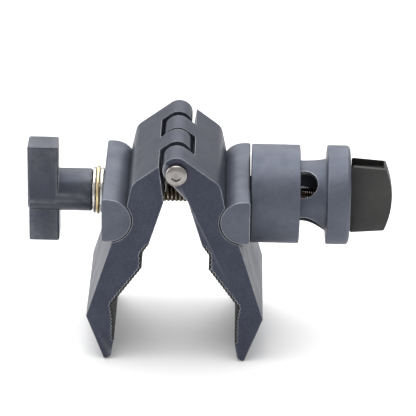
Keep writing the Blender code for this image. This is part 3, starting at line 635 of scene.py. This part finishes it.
def makeCollar():
    r, c = collarRadius - skin, collar
    mouth, chamber = post["neck"] + c["mouthGap"], post["neck"] + c["chamberGap"]
    step = collarLength - c["stop"]
    outline = [(mouth, collarLength - skin), (r, collarLength - skin), (r, skin), (c["bore"], skin),
               (c["bore"], c["floor"]), (chamber, c["floor"]), (chamber, step), (mouth, step)]
    outline = roundCorners(outline, c["rim"], 5, closed=True)
    mesh = toMesh(lathe(outline, machined["steps"], collarAt, closed=True), "collarShell")
    addPiece("receiverCollar", mesh, "right_bar", bodyMetal, "receiver_collar")


def crossHole(size, tilt, back):
    tool = toolFrom(lathe([(0, -back), (size / 2, -back), (size / 2, 40), (0, 40)], 96, Vector()), "holeTool")
    way = Vector((0, -cos(radians(tilt)), sin(radians(tilt))))
    centre = Matrix.Translation(collarAt + Vector((studX * mm, 0, 0)))
    tool.matrix_world = centre @ way.to_track_quat("X", "Z").to_matrix().to_4x4()
    return tool


def boreTool(diameter, start, end, steps, at, axis="X"):
    r = diameter / 2
    return toolFrom(lathe([(0, start), (r, start), (r, end), (0, end)], steps, at, axis), "boreTool")


def makePost():
    n, r, f = post["neck"], post["flange"] - skin, post["flare"]
    grooveStart, grooveEnd = post["groove"]
    grooveFloor = n - post["grooveDepth"]
    inner = post["innerEnd"]
    face = flangeX
    edge = []
    for angle in range(0, 91, 10):
        a = radians(angle)
        edge.append((r - post["edge"] * (1 - sin(a)), postEnd - skin - post["edge"] * 0.75 * (1 - cos(a))))
    flare = [(n + f, face), (n + 0.65 * f, face - 0.35), (n + 0.44 * f, face - 1.1), (n + 0.29 * f, face - 2.4),
             (n + 0.15 * f, face - 4.2), (n + 0.05 * f, face - 6.4), (n, face - 9.0)]
    outline = [(0, postEnd - skin)] + edge
    outline += roundCorners([(r, face + 3), (r, face + skin), (n + f, face + skin)], post["faceRim"], 5)[:-1]
    outline += roundCorners(flare, post["flareRim"], 3)
    outline += [(n, grooveEnd), (grooveFloor, grooveEnd), (grooveFloor, grooveStart), (n, grooveStart),
                (n, inner + 0.4), (n - 0.4, inner + skin), (0, inner + skin)]
    piece = linkNew("receiverPost", toMesh(lathe(outline, machined["steps"], collarAt), "postShell", 30))
    carve(piece, [
        crossHole(post["studHole"], post["studTilt"], post["studFloor"]),
        crossHole(post["spigotHole"], post["spigotTilt"], 30),
        boreTool(post["screwBore"], 0, studX + 3, 64, collarAt),
        boreTool(post["clampHole"], studX - 1.5, postEnd + 4, 48, collarAt)], smoothAngle=30)
    finishPiece(piece, "post", bodyMetal, "receiver_post")
    softenEdges(piece, post["holeEdge"], 2, 38)


retainingRing = {"under": 0.9, "rim": 0.15, "gap": 3.2}


def makeRing():
    low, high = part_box("post_retaining_ring")
    inner = post["neck"] - retainingRing["under"]
    outer = (high.z - low.z) / 2 / mm - skin
    length = (high.x - low.x) / mm
    at = Vector((low.x, 0, rightBarAt.z))
    outline = [(inner, length - skin), (outer, length - skin), (outer, skin), (inner, skin)]
    outline = roundCorners(outline, retainingRing["rim"], 3, True)
    piece = linkNew("retainingRing", toMesh(lathe(outline, machined["steps"], at, closed=True), "ringShell"))
    half = retainingRing["gap"] / 2
    carve(piece, [toolFrom(prism([(-half, 0), (half, 0), (half, -20), (-half, -20)], -1, 3, at), "ringGap")])
    finishPiece(piece, "post_ring", ringFinish, "post_retaining_ring")


makeCollar()
makePost()
makeRing()
print("receiver ready")


# Screws with real helical threads

def helix(radius, depth, pitch, start, end, at, plainTo=None, steps=40, rows=8, flat=0.14):
    # A right-hand thread from start to end, then a plain shank on to plainTo
    shape = bmesh.new()
    count = int((end - start) / pitch * rows)
    rings = []
    turns = [2 * pi * k / steps for k in range(steps)]

    def ringAt(x, radii):
        spots = [Vector((x, r * cos(angle), r * sin(angle))) for r, angle in zip(radii, turns)]
        return [shape.verts.new(at + spot * mm) for spot in spots]

    for i in range(count + 1):
        x = start + (end - start) * i / count
        ease = min(1.0, (x - start) / pitch / 0.8, (end - x) / pitch / 0.8 if plainTo is None else 1.0)
        radii = []
        for k in range(steps):
            phase = ((x / pitch) - k / steps) % 1.0
            ridge = 1 - min(1.0, max(0.0, (abs(phase * 2 - 1) - flat) / (1 - 2 * flat)))
            r = radius - depth + depth * ridge
            r = min(r, radius - depth * (1 - max(0.0, ease)) - 0.001)
            if plainTo is not None and end - x < pitch:
                r = max(r, radius - depth * (end - x) / pitch)
            radii.append(r)
        rings.append(ringAt(x, radii))
    if plainTo is not None:
        for x, r in ((end + 0.15, radius), (plainTo - 0.5, radius), (plainTo, radius - 0.5)):
            rings.append(ringAt(x, [r] * steps))
    tubeBand(rings, shape)
    return shape


mainScrew = {"radius": 3.97, "depth": 0.62, "pitch": 1.5, "threadFrom": -15.0}
clampScrew = {"radius": 2.47, "depth": 0.40, "pitch": 0.8, "threadTo": 13.7}
clampTip = {"nose": 0.7, "shoulder": 0.5, "rim": 0.3, "round": 0.35}


def threadFinish(name, look, screw):
    return makeThread(name, look, tuple(handleAt), (screw["radius"] - screw["depth"]) * mm, screw["radius"] * mm)


def makeMainScrew():
    # Built from the tip backwards and turned about, so that the shank is at the handle end
    s = mainScrew
    low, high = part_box("main_screw")
    axisLine = Vector((0, 0, rightBarAt.z))
    threadStart = hingeAt.x / mm + s["threadFrom"]
    shape = helix(s["radius"], s["depth"], s["pitch"], -high.x / mm + skin, -threadStart, axisLine, -low.x / mm - skin)
    bmesh.ops.rotate(shape, cent=axisLine, matrix=Matrix.Rotation(pi, 3, "Z"), verts=shape.verts)
    finish = threadFinish("rolledScrewThread", thread, s)
    addPiece("mainScrew", toMesh(shape, "mainScrewShell", 40), "handle", finish, "main_screw")


def makeClampScrew():
    s = clampScrew
    low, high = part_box("clamp_screw")
    at, length = Vector((low.x, 0, rightBarAt.z)), (high.x - low.x) / mm
    finish = threadFinish("clampScrewThread", brightThread, s)
    shape = helix(s["radius"], s["depth"], s["pitch"], skin, s["threadTo"], at, length - skin, 32, 8)
    addPiece("clampScrew", toMesh(shape, "clampScrewShell", 40), "knob", finish, "clamp_screw")


def makeClampTip():
    finish = makeSteel("tipBrass", brass, tuple(handleAt), alongX, 0.3)
    low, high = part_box("clamp_screw_tip")
    r, length = (high.z - low.z) / 2 / mm - thinSkin, (high.x - low.x) / mm
    outline = [(r - clampTip["rim"], length - thinSkin), (r, length - thinSkin), (r, clampTip["shoulder"]),
               (r - clampTip["nose"], thinSkin), (0, thinSkin)]
    outline = [(0, length - thinSkin)] + roundCorners(outline, clampTip["round"], 4)
    shape = lathe(outline, 48, Vector((low.x, 0, rightBarAt.z)))
    addPiece("clampTip", toMesh(shape, "clampTipShell"), "clamp_tip", finish, "clamp_screw_tip")


makeMainScrew()
makeClampScrew()
makeClampTip()
print("threads ready")


# Hinge screw, nut and springs

hingeHead = {"radius": 4.16, "wall": 0.75, "crown": 1.95, "socket": 3.3, "socketDepth": 1.35, "pin": 2.5}
hingeNut = {"acrossFlats": 7.96, "face": 1.55, "hole": 2.62}
hingeSpring = {"wire": 0.4, "radius": 4.0, "turns": 2.5, "pitch": 1.0}


def makeHingeScrew():
    h = hingeHead
    low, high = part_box("right_jaw")
    front = -((high.y - low.y) / 2 / mm + 0.3)
    low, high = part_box("hinge_screw")
    top, end = low.y / mm + skin, high.y / mm
    crown = []
    for i in range(13):
        a = radians(90 * i / 12)
        across = h["crown"] + (h["radius"] - h["crown"]) * cos(a)
        crown.append((across, front - h["wall"] + (top - front + h["wall"]) * sin(a)))
    outline = [(0, end - skin), (h["pin"] - 0.45, end - skin), (h["pin"] - skin, end - 0.5), (h["pin"] - skin, front),
               (h["radius"] - 0.12, front), (h["radius"], front - 0.12)] + crown + [(0, top)]
    piece = linkNew("hingeScrew", toMesh(lathe(outline, 96, hingeAt, "Y"), "hingeScrewShell", 35))
    floor, r = top + h["socketDepth"], h["socket"] * 0.52
    socket = prism(hexagon(h["socket"], 30), top - 1, floor, hingeAt, "Y")
    drilled = lathe([(0, floor + 0.6), (r, floor - skin), (r, top - 0.1), (0, top - 0.1)], 48, hingeAt, "Y")
    carve(piece, [toolFrom(socket, "socketTool"), toolFrom(drilled, "socketFloor")], smoothAngle=35)
    finishPiece(piece, "right_jaw", screwSteel, "hinge_screw")
    softenEdges(piece, 0.1, 2, 45)


def makeHingeNut():
    low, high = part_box("hinge_nut")
    start, end = low.y / mm, high.y / mm
    block = prism(hexagon(hingeNut["acrossFlats"], 0), start + thinSkin, end - thinSkin, hingeAt, "Y")
    piece = linkNew("hingeNut", toMesh(block, "hingeNutShell"))
    # Both faces are chamfered to a cone, as on any hex nut
    corner = hingeNut["acrossFlats"] / sqrt(3)
    face, wide = corner - hingeNut["face"], corner + 0.2
    cone = lathe([(0, start - 0.5), (face, start - 0.5), (wide, start + 0.6), (wide, end - 0.6), (face, end + 0.5),
                  (0, end + 0.5)], 72, hingeAt, "Y")
    carve(piece, [toolFrom(cone, "nutCone")], "INTERSECT")
    carve(piece, [boreTool(hingeNut["hole"] * 2, start - 1, end + 1, 48, hingeAt, "Y")])
    finishPiece(piece, "right_jaw", screwSteel, "hinge_nut")
    softenEdges(piece, 0.08, 2, 30)


def makeSpring(name, node):
    s = hingeSpring
    low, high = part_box(node)
    start = low.y / mm + s["wire"]
    rise = s["turns"] * s["pitch"]
    points = [Vector((-s["radius"], start, (low.z - hingeAt.z) / mm + skin)), Vector((-s["radius"], start, -3.0))]
    count = int(s["turns"] * 40)
    for i in range(count + 1):
        angle = pi - 2 * pi * s["turns"] * i / count
        points.append(Vector((s["radius"] * cos(angle), start + rise * i / count, s["radius"] * sin(angle))))
    points.append(Vector((s["radius"], start + rise, -2.6)))
    shape = bmesh.new()
    rings = []
    for i, point in enumerate(points):
        ahead = points[min(i + 1, len(points) - 1)] - points[max(i - 1, 0)]
        side = ahead.cross(Vector((0, 1, 0))).normalized()
        up = side.cross(ahead).normalized()
        around = [side * cos(2 * pi * k / 16) + up * sin(2 * pi * k / 16) for k in range(16)]
        rings.append([shape.verts.new(hingeAt + (point + way * (s["wire"] - thinSkin)) * mm) for way in around])
    tubeBand(rings, shape)
    addPiece(name, toMesh(shape, name + "Shell", 40), "left_jaw", springSteel, node)


makeHingeScrew()
makeHingeNut()
makeSpring("springFront", "hinge_spring_front")
makeSpring("springBack", "hinge_spring_back")
print("hinge hardware ready")


# Thrust washers, set screw and hidden cap screws

washers = {
    # name: (CAD node, finish, material slot, edge rounding)
    "washerInner": ("inner_washer", washerFinish, "stainless", 0.3),
    "washerBrass": ("brass_washer", brassFinish, "brass", 0.35),
    "washerOuter": ("outer_washer", washerFinish, "stainless", 0.35),
}
washerHole = 4.3
for name, (node, finish, slotName, rim) in washers.items():
    low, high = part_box(node)
    outer, length = (high.z - low.z) / 2 / mm - thinSkin, (high.x - low.x) / mm
    outline = [(outer, length - thinSkin), (outer, thinSkin), (washerHole, thinSkin), (washerHole, length - thinSkin)]
    outline = roundCorners(outline, rim, 5, True)
    shape = lathe(outline, machined["steps"], Vector((low.x, 0, rightBarAt.z)), closed=True)
    addPiece(name, toMesh(shape, name + "Shell", 35), bodies[node], finish, node)
for node, name in (("handle_set_screw", "gripSetScrew"), ("collar_screw_front", "capScrewFront"),
                   ("collar_screw_back", "capScrewBack")):
    addPiece(name, cleanCopy(node), bodies[node], capScrewFinish, node)
print("washers ready")


# Clamp knob

knob = {
    "flats": 8.4, "topRadius": 13.1, "length": 12.9, "dome": 2.5, "edge": 0.55, "bore": 2.8,
    "boreDepth": 7.8, "wall": 0.9, "hollow": 2.4, "rim": 1.0, "hollowEdge": 0.14,   # pockets in the narrow faces
}


def makeKnob():
    k = knob
    low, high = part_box("clamp_knob")
    base = (high.z - low.z) / 2 / mm - skin
    top = k["length"] + k["dome"] - skin
    dome = [(k["topRadius"] * 0.95 * i / 16, top - k["dome"] * (i / 16) ** 2) for i in range(17)]
    side = [dome[-1], (k["topRadius"], k["length"] - 0.35), (base, 0.4), (base - 0.45, skin), (0, skin)]
    outline = dome + roundCorners(side, 1.0, 6)[1:]
    piece = linkNew("clampKnob", toMesh(lathe(outline, 128, knobAt), "clampKnobShell", 30))
    half = k["flats"] / 2 - thinSkin
    slab = prism([(-half, -20), (half, -20), (half, 20), (-half, 20)], -2, top + 2, knobAt)
    carve(piece, [toolFrom(slab, "knobSlab")], "INTERSECT", 30)
    carve(piece, [boreTool(k["bore"] * 2, -2, k["boreDepth"], 48, knobAt)], smoothAngle=30)
    softenEdges(piece, k["edge"], 4, 40)
    inner, floor, tools = half - k["wall"], k["topRadius"] - k["hollow"], []
    for sign in (1, -1):
        pocket = [(-inner, sign * floor), (inner, sign * floor), (inner, sign * 20), (-inner, sign * 20)]
        tools.append(toolFrom(prism(pocket, -2, k["length"] - k["rim"], knobAt), "knobPocket"))
    carve(piece, tools, smoothAngle=30)
    finishPiece(piece, "knob", knobPlastic, "clamp_knob")
    softenEdges(piece, k["hollowEdge"], 2, 50)


makeKnob()
print("knob ready")


# Floor, lights and camera

studio = {
    "floorColour": (0.86, 0.86, 0.86), "floorRoughness": 0.7, "floorShade": 0.985,
    "worldStrength": 0.85,
    "lights": {
        # name: (place, aimed at, width, height, watts)
        "backSoftbox": ((0.0, 0.80, 0.75), (0.0, 0.0, 0.05), 1.3, 0.8, 7.0),
        "topSoftbox": ((-0.05, 0.05, 1.0), (0.0, 0.0, 0.05), 1.0, 0.9, 9.0),
        "leftSoftbox": ((-0.85, -0.15, 0.35), (0.0, 0.0, 0.06), 0.35, 0.6, 2.0),
    },
}
view = {
    "place": (0.005575, -0.9353, 0.5065), "direction": (-0.00612, 0.89877, -0.43837),
    "roll": 1.05, "lens": 241.9,
}


def makeFloor():
    shape = bmesh.new()
    bmesh.ops.create_grid(shape, x_segments=8, y_segments=8, size=2.5)
    mesh = bpy.data.meshes.new("studioFloor")
    shape.to_mesh(mesh)
    shape.free()
    floor = linkNew("studioFloor", mesh)
    floor.location.z = cadBounds[0][2] - 0.0002
    material, tree, shader = startMaterial("paleFloor", studio["floorColour"])
    grain = place(tree, blastedGrain, Grain=900.0, Cloud=2.0)
    pale = studio["floorColour"]
    shade = tuple(c * studio["floorShade"] for c in pale)
    tree.links.new(mixColour(tree, grain.outputs["Cloud"], shade, pale), shader.inputs["Base Color"])
    shader.inputs["Roughness"].default_value = studio["floorRoughness"]
    mesh.materials.append(material)


def makeLights():
    world = bpy.data.worlds.new("studioAir")
    world.use_nodes = True
    world.node_tree.nodes["Background"].inputs["Color"].default_value = (1, 1, 1, 1)
    world.node_tree.nodes["Background"].inputs["Strength"].default_value = studio["worldStrength"]
    bpy.context.scene.world = world
    for name, (at, aim, width, height, watts) in studio["lights"].items():
        lamp = bpy.data.lights.new(name, "AREA")
        lamp.shape = "RECTANGLE"
        lamp.size, lamp.size_y, lamp.energy = width, height, watts
        holder = linkNew(name, lamp)
        holder.location = at
        holder.rotation_euler = (Vector(aim) - Vector(at)).to_track_quat("-Z", "Y").to_euler()


def makeCamera():
    lens = bpy.data.cameras.new("studioCamera")
    lens.lens = view["lens"]
    lens.sensor_width = 36
    lens.clip_start, lens.clip_end = 0.05, 20
    holder = linkNew("studioCamera", lens)
    holder.location = view["place"]
    look = Vector(view["direction"]).to_track_quat("-Z", "Y") @ Quaternion((0, 0, 1), radians(view["roll"]))
    holder.rotation_euler = look.to_euler()
    bpy.context.scene.camera = holder


makeFloor()
makeLights()
makeCamera()
bpy.context.scene.view_settings.view_transform = "Standard"
print("stage ready")
